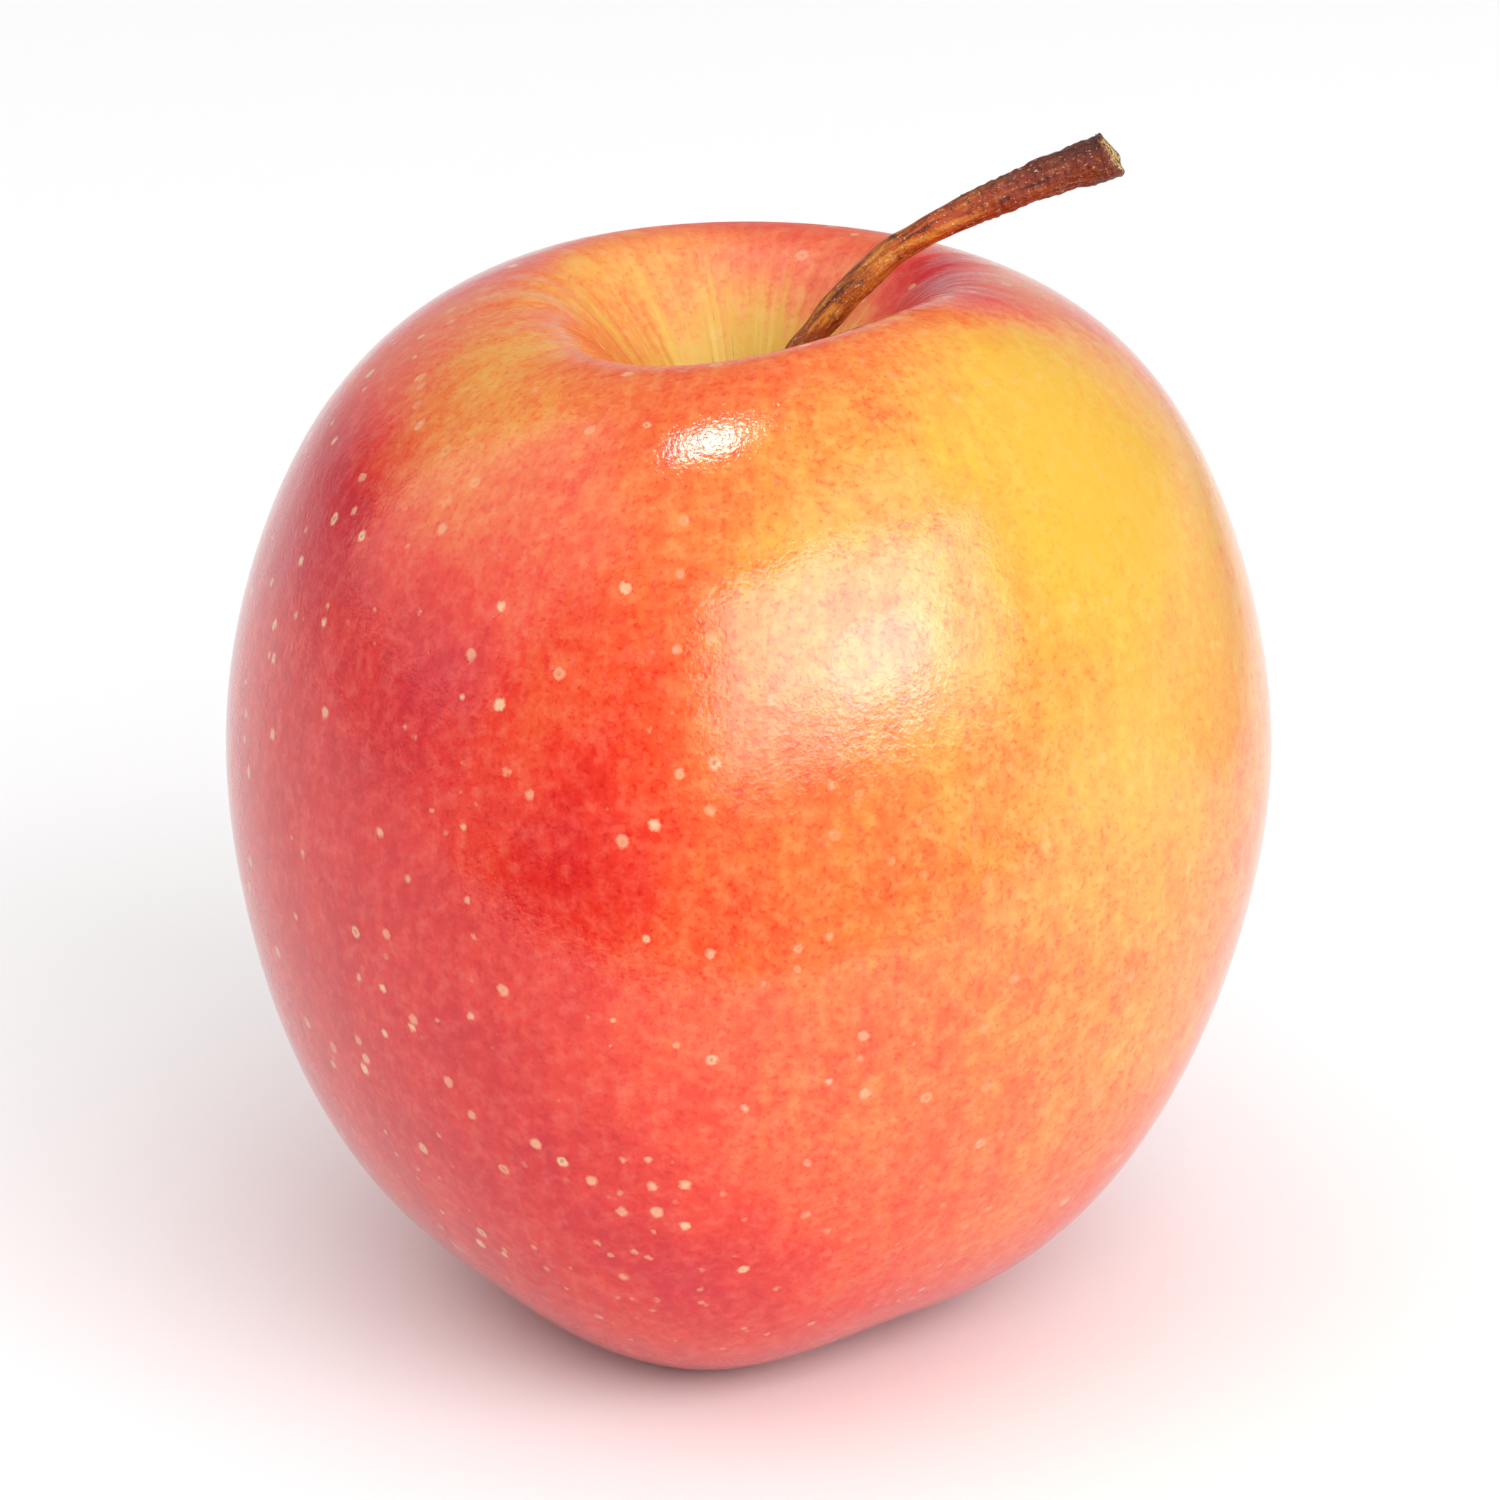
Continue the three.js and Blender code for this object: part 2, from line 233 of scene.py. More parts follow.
SKIN_ROUGHNESS = 0.10
CAVITY_DULLNESS = {"roughness": 0.5, "middle": (0, 10, 64), "reach": (11.0, 18.0)}  # by the stalk
PEEL = {"size": 0.38, "detail": 2.0, "height": 0.031}
DENTS = {"size": 4.5, "detail": 1.0, "height": 0.07}  # broad unevenness, which only the highlights show
WRINKLES = {"size": 8.0, "detail": 2.0, "height": 0.42, "radii": (23, 12)}  # folds that run in to the ends

# ---- stalk ----

# The stalk's middle line: to the right of the core line, behind it, and over the floor.
STALK_LINE = [
    (0.0, 0.0, 53.4),
    (0.0, 0.0, 57.1),
    (1.5, 0.0, 64.5),
    (4.9, 0.0, 70.9),
    (9.7, 0.1, 76.05),
    (16.1, 0.1, 79.75),
    (20.5, 0.0, 81.8),
    (25.4, -0.3, 83.65),
]
STALK_SPAN_STEPS = 12
STILL_RADIUS = 0.3  # so near the middle line, the bark's relief moves nothing
# The bark's relief. A stretch draws it out along the stalk.
RIDGES = {"size": 1.0, "stretch": 6.0, "height": 0.16}
SWELLS = {"size": 1.6, "stretch": 1.5, "height": 0.14}
FIBRES = {"size": 0.35, "stretch": 5.0, "height": 0.08}
CREASES = {"size": 0.9, "stretch": 0.4, "height": 0.10, "from": 0.74}  # across the swollen end
# The torn end, over its reach: ragged by a height, slanting up at the bottom, flaring at the top, and
# rounded off outside the radius of its face.
TEAR = {
    "size": 0.8,
    "height": 0.35,
    "reach": 1.1,
    "slant": 0.30,
    "flare": 0.40,
    "face": 0.85,
    "rounding": 0.9,
}
PITH = {"colour": "#dcb272", "radius": 1.4, "edge": 0.3, "depth": 0.75, "between": (0.42, 0.58)}

BARK_COLOURS = {  # by the share of the stalk's length
    0.00: "#8a3c12",
    0.42: "#94440f",
    0.55: "#a8560f",
    0.68: "#b4480c",
    0.80: "#8a3013",
    1.00: "#641f12",
}
BARK_AMBER = "#cf8426"
BARK_DARK = "#2f1108"
# Pale flecks: partly real cork, partly painted glints on the fibres.
BARK_PALE_AND_GLINTS = "#dcb492"
BARK_LINES = {"size": 0.42, "detail": 4.0, "squeeze": 0.14}
AMBER_LINES = {"between": (0.50, 0.62), "along": (0.85, 0.6), "strength": (0.15, 0.9)}
DARK_LINES = {"between": (0.45, 0.32), "share": 0.8}
SCARS = {"size": 0.6, "detail": 5.0, "between": (0.54, 0.68), "share": 0.6}
PAINTED_UPPER_SHADE = {"raggedness": 0.8, "heights": (1.2, 1.6), "share": 0.5}  # painted shade: the stalk's upper side darkened, made ragged by the scars
# The pale flecks are partly real cork and partly painted glints. The same noise also gives the pith its
# crumbs and the bark some relief.
CORK = {"size": 0.17, "detail": 3.0, "squeeze": 0.6, "between": (0.60, 0.70), "share": 0.75}
BARK_RELIEF = 0.12
BARK_ROUGHNESS = 0.42
BARK_SHEEN_LEVEL = 0.3  # of the usual reflection, for dry bark that scatters most of it

# ---- calyx ----

SEPAL_GREEN = "#7d7a45"
SEPAL_BROWN = "#7a5430"
SEPAL_DARK = "#3a2415"
SEPAL_PALE = "#bda67e"
SEPAL_HEIGHTS = (7.5, 4.0)  # where they are green, and where they are brown
SEPAL_BLOTCHES = {"size": 0.9, "detail": 4.0, "between": (0.48, 0.68), "share": 0.8}
SEPAL_HAIRS = {"size": 0.22, "detail": 3.0, "between": (0.55, 0.75), "share": 0.6}
SEPAL_RELIEF = 0.12
SEPAL_ROUGHNESS = 0.85
SEPAL_CRUMPLE = {"size": 1.3, "height": 0.22}


def clear_selection():
    """Nothing stays selected, so that the next operator acts on its own piece alone."""
    for thing in bpy.context.selected_objects:
        thing.select_set(False)


def make_active(thing):
    clear_selection()
    thing.select_set(True)
    bpy.context.view_layer.objects.active = thing


def apply_modifier(thing, kind, **settings):
    """Adds one modifier with its settings and applies it."""
    made = thing.modifiers.new(kind.lower(), kind)
    for name, value in settings.items():
        setattr(made, name, value)
    make_active(thing)
    bpy.ops.object.modifier_apply(modifier=made.name)


def copy_of_node(node, name, levels):
    """A smooth copy of a CAD node: its corners merged, its triangles paired into quads and subdivided."""
    piece = bpy.data.objects.new(name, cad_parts[node].data.copy())
    bpy.context.scene.collection.objects.link(piece)
    make_active(piece)
    bpy.ops.object.mode_set(mode="EDIT")
    bpy.ops.mesh.select_all(action="SELECT")
    bpy.ops.mesh.remove_doubles(threshold=MERGE_DISTANCE * MM)
    bpy.ops.mesh.tris_convert_to_quads(face_threshold=math.pi, shape_threshold=math.pi)
    bpy.ops.object.mode_set(mode="OBJECT")
    apply_modifier(piece, "SUBSURF", levels=levels, render_levels=levels)
    return piece


def finish_piece(piece, node, material):
    """Gives a piece its material and smooth shading, rides it on the root and hides the CAD node it
    replaces.
    """
    piece.data.materials.clear()
    piece.data.materials.append(material)
    make_active(piece)
    bpy.ops.object.shade_smooth()
    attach(piece, "root")
    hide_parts(node)


def save_values(piece, name, kind, values):
    """Keeps a value of every vertex under a name, for a material to read."""
    made = piece.data.attributes.new(name, kind, "POINT")
    made.data.foreach_set("vector" if kind == "FLOAT_VECTOR" else "value", values)


# ---- nodes and patterns ----


def linear(hex_colour):
    """An sRGB hex colour as a linear RGBA value."""
    parts = [int(hex_colour[at : at + 2], 16) / 255 for at in (1, 3, 5)]
    return (*[p / 12.92 if p <= 0.04045 else ((p + 0.055) / 1.055) ** 2.4 for p in parts], 1.0)


def fill(tree, node, inputs):
    """Fills a node's inputs, given by name or number. A node given for one is linked from its first output,
    and a pair of a node and an output's name or number from that output."""
    for socket, value in inputs.items():
        if isinstance(value, bpy.types.Node):
            value = (value, 0)
        if isinstance(value, tuple) and isinstance(value[0], bpy.types.Node):
            tree.links.new(value[0].outputs[value[1]], node.inputs[socket])
        else:
            node.inputs[socket].default_value = value


def add(tree, kind, inputs=(), stops=(), **settings):
    """Adds a node with its settings, its inputs, which are named or in order, and its colour stops."""
    made = tree.nodes.new(kind if kind.startswith(("Geometry", "Node")) else "ShaderNode" + kind)
    for name, value in settings.items():
        setattr(made, name, value)
    fill(tree, made, inputs if isinstance(inputs, dict) else dict(enumerate(inputs)))
    for index, position in enumerate(stops):
        ramp = made.color_ramp.elements
        stop = ramp[index] if index < len(ramp) else ramp.new(position)
        stop.position = position
        stop.color = linear(stops[position])
    return made


def new_material(name):
    """A material with its tree and its surface shader."""
    material = bpy.data.materials.new(name)
    material.use_nodes = True
    tree = material.node_tree
    return material, tree, tree.nodes["Principled BSDF"]


def pattern(place, form):
    """The inputs of a noise node that draws a pattern of a form, in the units of the place."""
    inputs = {"Vector": place, "Scale": 1 / form["size"], "Detail": form["detail"]}
    return {**inputs, "Roughness": NOISE_ROUGHNESS, "Distortion": form.get("distortion", 0.0)}


def moved(tree, place, form):
    """A place carried off by noise, so that what is drawn there has a wandering edge."""
    wander = add(tree, "TexNoise", pattern(place, form))
    centred = add(tree, "VectorMath", ((wander, "Color"), (0.5, 0.5, 0.5)), operation="SUBTRACT")
    scaled = add(tree, "VectorMath", {0: centred, "Scale": form["reach"]}, operation="SCALE")
    return add(tree, "VectorMath", (place, scaled), operation="ADD")


def near(tree, place, middle, reach):
    """1 near a point of the fruit and 0 beyond its reach."""
    distance = add(tree, "VectorMath", (place, middle), operation="DISTANCE")
    return add(tree, "MapRange", ((distance, "Value"), *reach, 0.0, 1.0), **SMOOTH)


def lay_over(tree, colour, over, *shares):
    """A colour with another one over it, by the product of its shares. Colours are hex or linked."""
    factor = shares[0]
    for share in shares[1:]:
        factor = add(tree, "Math", (factor, share), operation="MULTIPLY")
    under, over = (linear(each) if isinstance(each, str) else each for each in (colour, over))
    return (add(tree, "Mix", {0: factor, 6: under, 7: over}, data_type="RGBA"), 2)


# ---- camera, floor and light ----


def make_camera():
    core = Vector((CORE.x, CORE.y, MID_HEIGHT))
    back = Vector((0, -math.cos(CAMERA_ELEVATION), math.sin(CAMERA_ELEVATION)))
    up = Vector((0, math.sin(CAMERA_ELEVATION), math.cos(CAMERA_ELEVATION)))
    place = core + back * CAMERA_DISTANCE
    aim = core + up * AIM_RAISE + Vector((AIM_RIGHT, 0, 0))
    lens = bpy.data.cameras.new("camera")
    lens.sensor_width = SENSOR
    lens.lens = SENSOR * CAMERA_DISTANCE / FRAME_WIDTH
    lens.clip_start = CAMERA_CLIP * MM
    camera = bpy.data.objects.new("camera", lens)
    camera.location = place * MM
    camera.rotation_euler = (aim - place).to_track_quat("-Z", "Y").to_euler()
    bpy.context.scene.collection.objects.link(camera)
    bpy.context.scene.camera = camera


def make_softbox(name, towards, elevation, size, distance, brightness):
    """A rectangular area light facing the fruit. A card lights the gloss alone, and other boxes all else."""
    turn, tilt = math.radians(towards), math.radians(elevation)
    place = Vector((math.sin(turn) * math.cos(tilt), -math.cos(turn) * math.cos(tilt), math.sin(tilt)))
    light = bpy.data.lights.new(name, "AREA")
    light.shape = "RECTANGLE"
    light.size, light.size_y = (side * MM for side in size)
    light.energy = brightness * math.pi * light.size * light.size_y
    lamp = bpy.data.objects.new(name, light)
    lamp.location = Vector((0, 0, MID_HEIGHT * MM)) + place * distance * MM
    lamp.rotation_euler = place.to_track_quat("Z", "Y").to_euler()
    lamp.visible_camera = False
    lamp.visible_diffuse = not name.endswith("card")
    lamp.visible_glossy = name.endswith("card")
    bpy.context.scene.collection.objects.link(lamp)


def make_surround():
    """A white tent all round, with its opening on the camera's side, which is darker."""
    world = bpy.data.worlds.new("tent")
    world.use_nodes = True
    tree = world.node_tree
    direction = (add(tree, "TexCoord"), "Generated")
    towards = add(tree, "VectorMath", (direction, (0.0, -1.0, 0.0)), operation="DOT_PRODUCT")
    opening = add(tree, "MapRange", ((towards, "Value"), *OPENING_EDGE, 1.0, OPENING_BRIGHTNESS), **SMOOTH)
    height = (add(tree, "SeparateXYZ", (direction,)), "Z")
    walls = add(tree, "MapRange", (height, *ROOF_EDGE, TENT_BRIGHTNESS, ROOF_BRIGHTNESS), **SMOOTH)
    brightness = add(tree, "Math", (opening, walls), operation="MULTIPLY")
    fill(tree, tree.nodes["Background"], {"Color": linear("#ffffff"), "Strength": brightness})
    bpy.context.scene.world = world
    bpy.context.scene.view_settings.view_transform = "Standard"


def make_floor():
    """A plain floor of white paper."""
    clear_selection()
    bpy.ops.mesh.primitive_plane_add(size=FLOOR_SIDE * MM)
    floor = bpy.context.object
    floor.name = "floor"
    paper, tree, surface = new_material("white_paper")
    fill(tree, surface, {"Base Color": linear(FLOOR_COLOUR), "Roughness": FLOOR_ROUGHNESS})
    floor.data.materials.append(paper)


def make_flag(name, middle, size, colour):
    """A velvet cloth on the floor, which nothing but the gloss sees. Its pile throws back no sheen."""
    clear_selection()
    bpy.ops.mesh.primitive_plane_add(size=1)
    flag = bpy.context.object
    flag.name = name
    flag.scale = (size[0] * MM, size[1] * MM, 1)
    flag.location = Vector((*middle, FLAG_RAISE)) * MM
    bpy.ops.object.transform_apply(location=True, rotation=False, scale=True)
    velvet, tree, surface = new_material(name + "_velvet")
    fill(tree, surface, {"Base Color": linear(colour), "Specular IOR Level": 0.0})
    flag.data.materials.append(velvet)
    flag.visible_camera = flag.visible_diffuse = flag.visible_shadow = flag.visible_transmission = False


# ---- skin ----


def fruit_place(tree):
    """Millimetres from the foot of the fruit's core line."""
    inputs = {"Vector": (add(tree, "TexCoord"), "Object"), "Location": -CORE, "Scale": (1 / MM,) * 3}
    return add(tree, "Mapping", inputs)


def streak_place(tree, place):
    """Millimetres round the fruit and along it from stalk to calyx, squeezed along to draw streaks. The
    distance from the core line is given too."""
    flat = add(tree, "VectorMath", (place, (1.0, 1.0, 0.0)), operation="MULTIPLY")
    outward = add(tree, "VectorMath", (flat,), operation="NORMALIZE")
    radius = (add(tree, "VectorMath", (flat,), operation="LENGTH"), "Value")
    height = (add(tree, "SeparateXYZ", (place,)), "Z")
    over = add(tree, "Math", (height, SECTION_MIDDLE[1]), operation="SUBTRACT")
    out = add(tree, "Math", (radius, SECTION_MIDDLE[0]), operation="SUBTRACT")
    turn = add(tree, "Math", (over, out), operation="ARCTAN2")
    along = add(tree, "Math", (turn, SECTION_REACH / STREAK_LENGTH), operation="MULTIPLY")
    upward = add(tree, "CombineXYZ", {"Z": along})
    ring = add(tree, "VectorMath", {0: outward, "Scale": MID_HEIGHT}, operation="SCALE")
    return add(tree, "VectorMath", (ring, upward), operation="ADD"), radius


def drifted_places(piece):
    """Where each vertex of the fruit looks up its broad blush, in millimetres from the foot of the core
    line. Noise carries these places off, so that the patches of blush have wandering edges."""
    group = bpy.data.node_groups.new("drift", "GeometryNodeTree")
    for way in ("INPUT", "OUTPUT"):
        group.interface.new_socket("Geometry", in_out=way, socket_type="NodeSocketGeometry")
    metres = add(group, "GeometryNodeInputPosition")
    scaled = add(group, "VectorMath", {0: metres, "Scale": 1 / MM}, operation="SCALE")
    place = add(group, "VectorMath", (scaled, CORE), operation="SUBTRACT")
    drifted = moved(group, place, PATCH_DRIFT)
    inputs = {"Geometry": add(group, "NodeGroupInput"), "Name": "drifted", "Value": drifted}
    stored = add(group, "GeometryNodeStoreNamedAttribute", inputs, data_type="FLOAT_VECTOR")
    add(group, "NodeGroupOutput", (stored,))
    apply_modifier(piece, "NODES", node_group=group)
    made = piece.data.attributes["drifted"]
    places = np.empty(len(made.data) * 3, np.float32)
    made.data.foreach_get("vector", places)
    piece.data.attributes.remove(made)
    return places.reshape(-1, 3)


def save_broad_blush(piece):
    """Keeps how red each vertex of the fruit is, from its side of the fruit and the patches of blush."""
    places = drifted_places(piece)
    turn, tilt = (math.radians(SHADE_SIDE[name]) for name in ("direction", "elevation"))
    shade = (math.sin(turn) * math.cos(tilt), -math.cos(turn) * math.cos(tilt), math.sin(tilt))
    outward = places - (0, 0, MID_HEIGHT)
    cosines = outward @ shade / np.linalg.norm(outward, axis=1)
    amount = np.interp(cosines, list(BLUSH_BY_ANGLE), list(BLUSH_BY_ANGLE.values()))
    for direction, radius, height, reach, change in BLUSH_PATCHES.values():
        turn = math.radians(direction)
        across, inward = (math.cos(turn), math.sin(turn), 0), (-math.sin(turn), math.cos(turn), 0)
        middle = (radius * math.sin(turn), -radius * math.cos(turn), height)
        local = (places - middle) @ np.transpose((across, inward, (0, 0, 1))) / reach
        share = np.clip((1 - np.linalg.norm(local, axis=1)) / PATCH_FADE, 0, 1)
        amount += change * share * share * (3 - 2 * share)
    save_values(piece, "blush", "FLOAT", amount)


def blush(tree, place, streaks, broad, fine):
    """How red the skin is, from 0 to 1: its broad blush broken up by mottle, streaks and flecks."""
    amount = broad
    blotches = add(tree, "TexNoise", pattern(place, BROAD_MOTTLE))
    drawn = add(tree, "TexNoise", pattern(streaks, STREAKS))
    for marks, form in ((blotches, BROAD_MOTTLE), (fine, FINE_MOTTLE), (drawn, STREAKS)):
        centred = add(tree, "Math", (marks, 0.5), operation="SUBTRACT")
        amount = add(tree, "Math", (centred, form["change"], amount), operation="MULTIPLY_ADD")
    lines = add(tree, "TexNoise", pattern(streaks, CAVITY_STREAKS))
    centred = add(tree, "Math", (lines, 0.5), operation="SUBTRACT")
    inside = near(tree, place, CAVITY_GREEN["middle"], CAVITY_STREAKS["reach"])
    lines = add(tree, "Math", (centred, inside), operation="MULTIPLY")
    amount = add(tree, "Math", (lines, CAVITY_STREAKS["change"], amount), operation="MULTIPLY_ADD")
    specks = add(tree, "TexNoise", pattern(place, FLECKS))
    flecks = add(tree, "MapRange", (specks, *FLECKS["between"], 0.0, FLECKS["change"]), **SMOOTH)
    return add(tree, "Math", (amount, flecks), operation="ADD")


def hollows(tree, place, streaks, colour):
    """The skin down in the stalk cavity and round the calyx: greener, with pale seams and dark flecks."""
    for hollow in (CAVITY_GREEN, BASIN_GREEN):
        inside = near(tree, place, hollow["middle"], hollow["reach"])
        colour = lay_over(tree, colour, hollow["colour"], inside, hollow["share"])
    inside = near(tree, place, CAVITY_GREEN["middle"], CAVITY_MARKS_REACH)
    for form in (SEAMS, CAVITY_FLECKS):
        where = add(tree, "VectorMath", (streaks, (1, 1, form["squeeze"])), operation="MULTIPLY")
        noise = add(tree, "TexNoise", pattern(where, form))
        marks = add(tree, "MapRange", (noise, *form["between"], 0.0, form["share"]), **SMOOTH)
        colour = lay_over(tree, colour, form["colour"], marks, inside)
    return colour


def pores(tree, place, heights):
    """Masks of the breathing pores and of the darker eye in the middle of each, from 0 to 1."""
    ragged = moved(tree, place, PORE_DRIFT)
    mask, eyes = 0.0, 0.0
    for kind in PORES.values():
        spacing = kind["spacing"]
        spots = add(tree, "TexVoronoi", {"Vector": ragged, "Scale": 1 / spacing})
        chance = add(tree, "SeparateColor", ((spots, "Color"),))
        largest = kind["radius"] / spacing
        limits = (1 - kind["share"], 1.0, PORE_LEAST * largest, largest)
        size = add(tree, "MapRange", ((chance, "Red"), *limits), **SMOOTH)
        inside = add(tree, "Math", (size, (spots, "Distance")), operation="SUBTRACT")
        spot = add(tree, "MapRange", (inside, 0.0, PORE_EDGE / spacing, 0.0, 1.0), **SMOOTH)
        share = add(tree, "MapRange", (heights, *kind["heights"], 0.0, 1.0), **SMOOTH)
        strength = add(tree, "MapRange", ((chance, "Blue"), 0.0, 1.0, *PORE_STRENGTHS), **SMOOTH)
        strength = add(tree, "Math", (strength, share), operation="MULTIPLY")
        spot = add(tree, "Math", (spot, strength), operation="MULTIPLY")
        mask = add(tree, "Math", (mask, spot), operation="MAXIMUM")
        depth = add(tree, "Math", ((spots, "Distance"), size), operation="DIVIDE")
        eye = add(tree, "MapRange", (depth, *PORE_EYE["edge"], 0.0, PORE_EYE["share"]), **SMOOTH)
        marked = add(tree, "MapRange", ((chance, "Green"), *PORE_EYE["chance"], 0.0, 1.0), **SMOOTH)
        eye = add(tree, "Math", (eye, marked), operation="MULTIPLY")
        eye = add(tree, "Math", (eye, spot), operation="MULTIPLY")
        eyes = add(tree, "Math", (eyes, eye), operation="MAXIMUM")
    return mask, eyes


def skin_colour(tree, place, streaks):
    """Red blush over yellow in fine mottle and flecks, greener hollows, and pale pores."""
    broad = (add(tree, "Attribute", attribute_name="blush"), "Fac")
    fine = add(tree, "TexNoise", pattern(place, FINE_MOTTLE))
    amount = blush(tree, place, streaks, broad, fine)
    colour = (add(tree, "ValToRGB", (amount,), stops=SKIN_COLOURS), "Color")
    for where, form in ((broad, CRIMSON), (fine, PALLOR)):
        share = add(tree, "MapRange", (where, *form["between"], 0.0, form["share"]), **SMOOTH)
        colour = lay_over(tree, colour, form["colour"], share)
    colour = hollows(tree, place, streaks, colour)
    heights = (add(tree, "SeparateXYZ", (place,)), "Z")
    mask, eyes = pores(tree, place, heights)
    pore_colour = lay_over(tree, PORE_COLOUR, PORE_EYE["colour"], eyes)
    limits = (*PORE_CONTRAST["blush"], *PORE_CONTRAST["strength"])
    contrast = add(tree, "MapRange", (amount, *limits), **SMOOTH)
    return lay_over(tree, colour, pore_colour, mask, contrast)


def skin_relief(tree, place, streaks, radius):
    """The skin's unevenness: broad dents, folds that run in to the stalk and the calyx, and fine peel."""
    dents = add(tree, "TexNoise", pattern(place, DENTS))
    folds = add(tree, "TexNoise", pattern(streaks, WRINKLES))
    inside = add(tree, "MapRange", (radius, *WRINKLES["radii"], 0.0, 1.0), **SMOOTH)
    folds = add(tree, "Math", (folds, inside), operation="MULTIPLY")
    peel = add(tree, "TexNoise", pattern(place, PEEL))
    relief = add(tree, "Bump", {"Height": dents, "Distance": DENTS["height"] * MM})
    for height, form in ((folds, WRINKLES), (peel, PEEL)):
        inputs = {"Height": height, "Distance": form["height"] * MM, "Normal": relief}
        relief = add(tree, "Bump", inputs)
    return relief


def make_skin():
    """Apple skin under natural wax, which is smooth and thin enough to give clear highlights, broken up by
    the peel's fine unevenness. Down by the stalk it is duller."""
    material, tree, surface = new_material("waxy_apple_skin")
    place = fruit_place(tree)
    streaks, radius = streak_place(tree, place)
    colour = skin_colour(tree, place, streaks)
    relief = skin_relief(tree, place, streaks, radius)
    cavity = add(tree, "VectorMath", (place, CAVITY_DULLNESS["middle"]), operation="DISTANCE")
    limits = (*CAVITY_DULLNESS["reach"], CAVITY_DULLNESS["roughness"], SKIN_ROUGHNESS)
    roughness = add(tree, "MapRange", ((cavity, "Value"), *limits), **SMOOTH)
    fill(tree, surface, {"Base Color": colour, "Normal": relief, "Roughness": roughness})
    return material


def make_fruit():
    """The fruit: the CAD node's form made smooth, with its broad blush kept for the skin."""
    piece = copy_of_node("fruit", "apple_fruit", FRUIT_LEVELS)
    save_broad_blush(piece)
    return piece


# ---- stalk ----


def bark_colour(tree, grain, lines, scars, cork):
    """Reddish brown with amber fibres along it, dark scars, painted shade along the upper side, and pale
    corky flecks that also paint small glints. The torn end shows straw-coloured pith."""
    share = (add(tree, "Attribute", attribute_name="share"), "Fac")
    pith = (add(tree, "Attribute", attribute_name="pith"), "Fac")
    colour = (add(tree, "ValToRGB", (share,), stops=BARK_COLOURS), "Color")
    middle = add(tree, "MapRange", (share, *AMBER_LINES["along"], *AMBER_LINES["strength"]), **SMOOTH)
    amber = add(tree, "MapRange", (lines, *AMBER_LINES["between"], 0.0, 1.0), **SMOOTH)
    colour = lay_over(tree, colour, BARK_AMBER, amber, middle)
    for noise, form in ((lines, DARK_LINES), (scars, SCARS)):
        dark = add(tree, "MapRange", (noise, *form["between"], 0.0, form["share"]), **SMOOTH)
        colour = lay_over(tree, colour, BARK_DARK, dark)
    # Painted shade: the bark is darkened along the stalk's upper side, where the shade falls.
    above = (add(tree, "SeparateXYZ", (grain,)), "Y")
    painted_shade = add(tree, "Math", (scars, PAINTED_UPPER_SHADE["raggedness"], above), operation="MULTIPLY_ADD")
    painted_shade = add(tree, "MapRange", (painted_shade, *PAINTED_UPPER_SHADE["heights"], 0.0, PAINTED_UPPER_SHADE["share"]), **SMOOTH)
    colour = lay_over(tree, colour, BARK_DARK, painted_shade)
    # Pale flecks: partly real cork, partly painted glints where small lights catch the fibres.
    flecks = add(tree, "MapRange", (cork, *CORK["between"], 0.0, CORK["share"]), **SMOOTH)
    colour = lay_over(tree, colour, BARK_PALE_AND_GLINTS, flecks)
    crumbs = add(tree, "MapRange", (cork, *PITH["between"], 0.0, 1.0), **SMOOTH)
    straw = lay_over(tree, BARK_DARK, PITH["colour"], crumbs)
    return lay_over(tree, colour, straw, pith)


def make_bark():
    """Dried stalk bark. It is half glossy, so that its fibres catch small lights, and it reflects little,
    because its surface is dry."""
    material, tree, surface = new_material("apple_stalk_bark")
    grain = (add(tree, "Attribute", attribute_name="grain"), "Vector")
    drawn = add(tree, "VectorMath", (grain, (1.0, 1.0, BARK_LINES["squeeze"])), operation="MULTIPLY")
    lines = add(tree, "TexNoise", pattern(drawn, BARK_LINES))
    scars = add(tree, "TexNoise", pattern(grain, SCARS))
    squat = add(tree, "VectorMath", (grain, (1.0, 1.0, CORK["squeeze"])), operation="MULTIPLY")
    cork = add(tree, "TexNoise", pattern(squat, CORK))
    height = add(tree, "Math", (cork, scars), operation="ADD")
    height = add(tree, "Math", (lines, height), operation="ADD")
    inputs = {
        "Base Color": bark_colour(tree, grain, lines, scars, cork),
        "Normal": add(tree, "Bump", {"Height": height, "Distance": BARK_RELIEF * MM}),
        "Specular IOR Level": BARK_SHEEN_LEVEL,
        "Roughness": BARK_ROUGHNESS,
    }
    fill(tree, surface, inputs)
    return material


def smooth_line(points, steps):
    """A smooth line through points, each given as right, back and height from the core line."""
    points = [Vector(point) + CORE for point in points]
    padded = [points[0] * 2 - points[1], *points, points[-1] * 2 - points[-2]]
    line = []
    for before, start, end, after in zip(padded, padded[1:], padded[2:], padded[3:]):
        first, second = start + (end - before) / 6, end - (after - start) / 6
        line += interpolate_bezier(start, first, second, end, steps)[:-1]
    return [*line, points[-1]]


def lump(place, form):
    """Noise drawn out along the stalk, from about minus to plus one."""
    size = form["size"]
    return noise_at(Vector((place.x / size, place.y / size, place.z / size / form.get("stretch", 1.0))))


def roughened(place, outward, heading, straight, along, total):
    """A point of the stalk moved for the relief of its bark and for its torn end, and its share of pith."""
    radius, left = outward.length, total - along
    end = max(0.0, 1 - left / TEAR["reach"])
    pith = max(0.0, min(1.0, (PITH["radius"] - radius) / PITH["edge"])) if left < PITH["depth"] else 0.0
    if pith < 1 and radius > STILL_RADIUS:
        swell = sum(lump(straight, form) * form["height"] for form in (RIDGES, SWELLS, FIBRES))
        if along / total > CREASES["from"]:
            swell += lump(straight, CREASES) * CREASES["height"]
        swell += end * TEAR["flare"] * max(0.0, straight.y / radius)
        place = place + outward.normalized() * swell * (1 - pith)
    rounded = TEAR["rounding"] * max(0.0, radius - TEAR["face"])
    ragged = TEAR["height"] * lump(straight, TEAR) - TEAR["slant"] * straight.y
    return place + heading * end * (ragged - rounded), pith


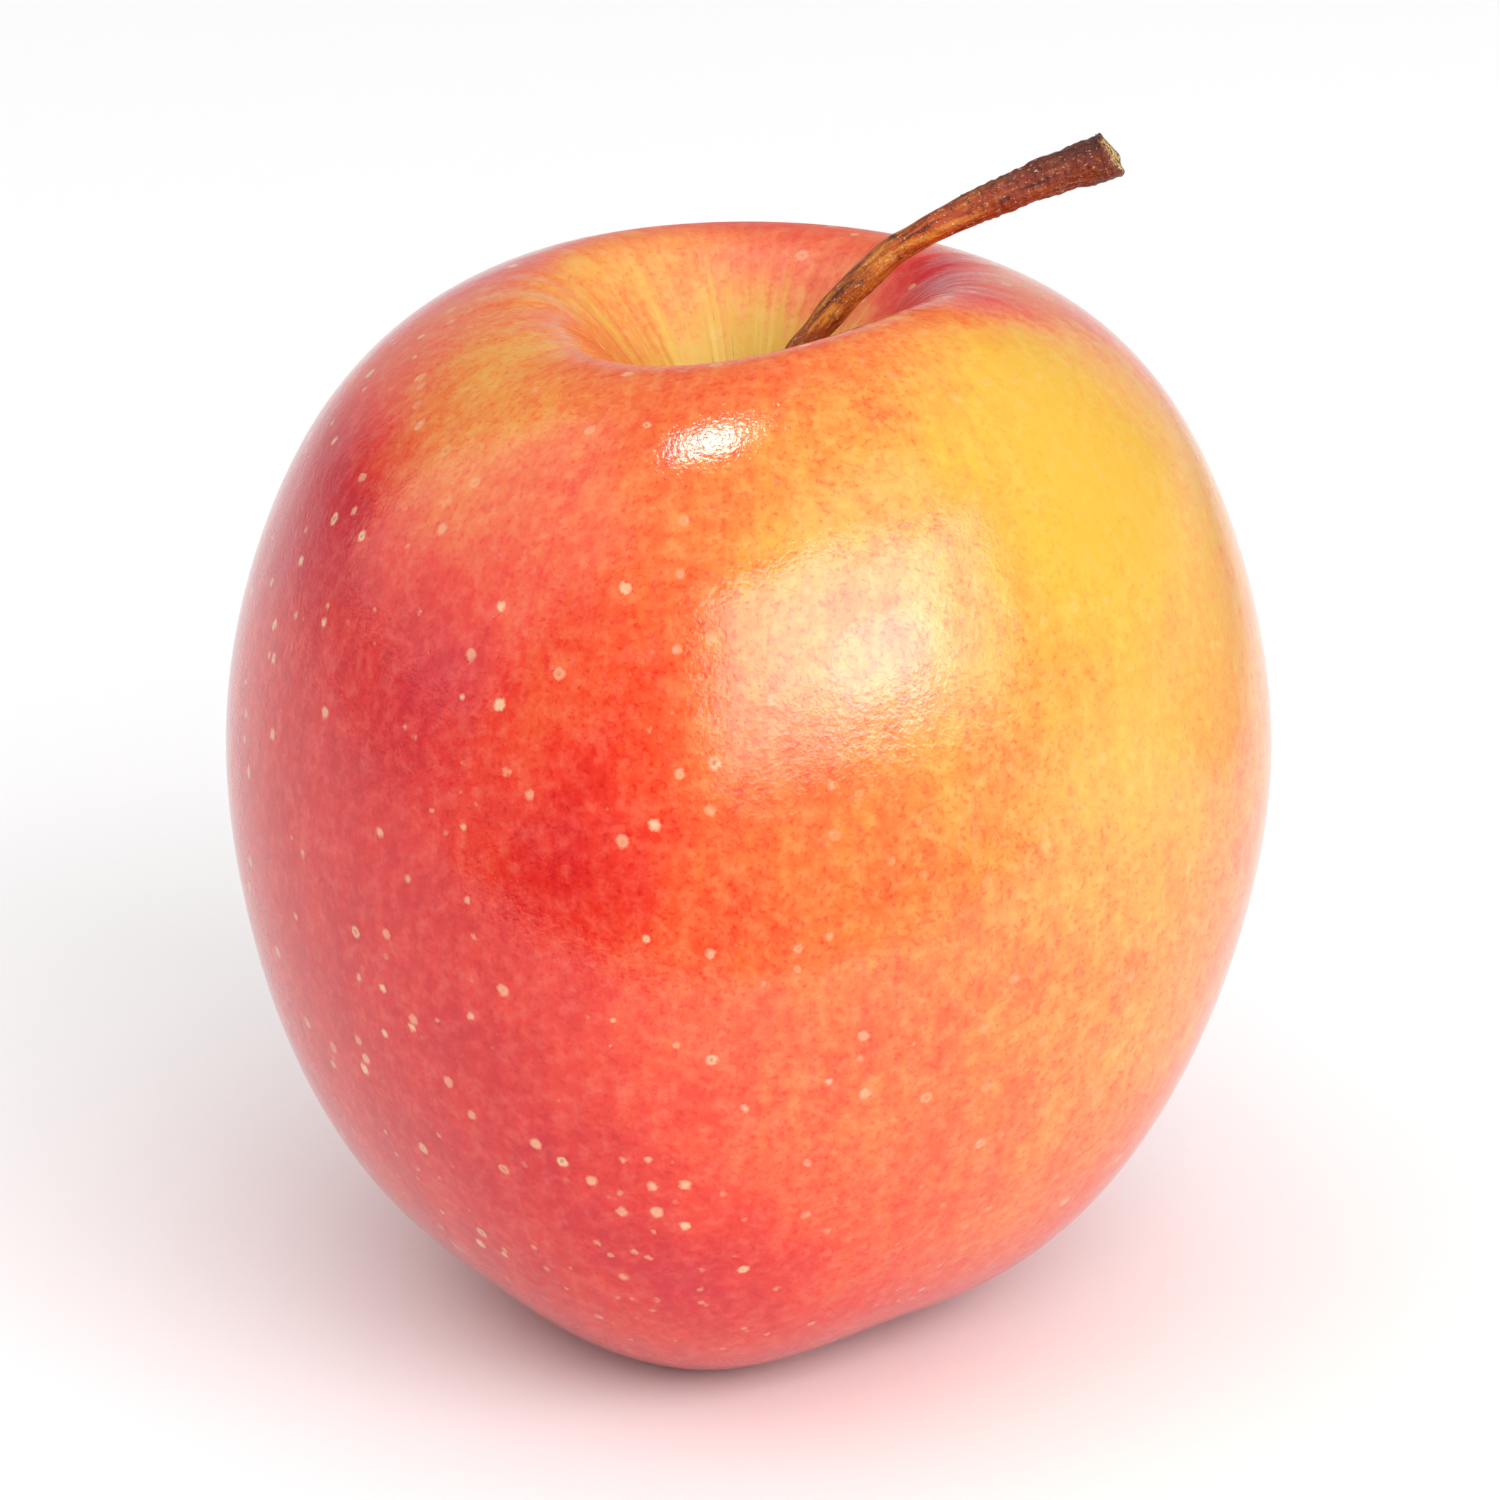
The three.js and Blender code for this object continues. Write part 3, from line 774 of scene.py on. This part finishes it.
def make_stalk():
    """The woody stalk: the CAD node's form with ridges and fibres along its bark and a ragged torn end."""
    piece = copy_of_node("stalk", "woody_stalk", STALK_LEVELS)
    line = smooth_line(STALK_LINE, STALK_SPAN_STEPS)
    steps = ((end - start).length for start, end in zip(line, line[1:]))
    lengths = list(accumulate(steps, initial=0.0))
    nearest = KDTree(len(line))
    for index, point in enumerate(line):
        nearest.insert(point, index)
    nearest.balance()
    side = Vector((0, 1, 0))
    grain, shares, piths = [], [], []
    for vertex in piece.data.vertices:
        place = vertex.co / MM
        index = nearest.find(place)[1]
        heading = (line[min(index + 1, len(line) - 1)] - line[max(index - 1, 0)]).normalized()
        beyond = (place - line[index]).dot(heading)
        along = lengths[index] + beyond
        outward = place - line[index] - heading * beyond
        straight = Vector((outward.dot(side), outward.dot(heading.cross(side)), along))
        place, pith = roughened(place, outward, heading, straight, along, lengths[-1])
        vertex.co = place * MM
        grain.extend(straight)
        shares.append(along / lengths[-1])
        piths.append(pith)
    save_values(piece, "grain", "FLOAT_VECTOR", grain)
    save_values(piece, "share", "FLOAT", shares)
    save_values(piece, "pith", "FLOAT", piths)
    return piece


# ---- calyx ----


def make_dry_leaf():
    """Dried sepals and stamens: matt brown and papery, grey-green where they were last alive and dark
    at their tips, with fine hairs that leave them pale and uneven."""
    material, tree, surface = new_material("dried_sepal")
    place = fruit_place(tree)
    heights = (add(tree, "SeparateXYZ", (place,)), "Z")
    dried = add(tree, "MapRange", (heights, *SEPAL_HEIGHTS, 0.0, 1.0), **SMOOTH)
    colour = lay_over(tree, SEPAL_GREEN, SEPAL_BROWN, dried)
    blotches = add(tree, "TexNoise", pattern(place, SEPAL_BLOTCHES))
    hairs = add(tree, "TexNoise", pattern(place, SEPAL_HAIRS))
    for noise, form, over in ((blotches, SEPAL_BLOTCHES, SEPAL_DARK), (hairs, SEPAL_HAIRS, SEPAL_PALE)):
        share = add(tree, "MapRange", (noise, *form["between"], 0.0, form["share"]), **SMOOTH)
        colour = lay_over(tree, colour, over, share)
    relief = add(tree, "Bump", {"Height": hairs, "Distance": SEPAL_RELIEF * MM})
    fill(tree, surface, {"Base Color": colour, "Normal": relief, "Roughness": SEPAL_ROUGHNESS})
    return material


def make_calyx():
    """The dried calyx: the CAD node's sepals and stamens, softened and crumpled."""
    piece = copy_of_node("calyx", "dried_calyx", CALYX_LEVELS)
    normals = [vertex.normal.copy() for vertex in piece.data.vertices]
    for vertex, normal in zip(piece.data.vertices, normals):
        vertex.co += normal * lump(vertex.co / MM, SEPAL_CRUMPLE) * SEPAL_CRUMPLE["height"] * MM
    return piece


# ---- the scene ----

make_camera()
make_surround()
for box_name, box in SOFTBOXES.items():
    make_softbox(box_name, *box)
make_floor()
for flag_name, flag in FLAGS.items():
    make_flag(flag_name, **flag)

finish_piece(make_fruit(), "fruit", make_skin())
finish_piece(make_stalk(), "stalk", make_bark())
finish_piece(make_calyx(), "calyx", make_dry_leaf())
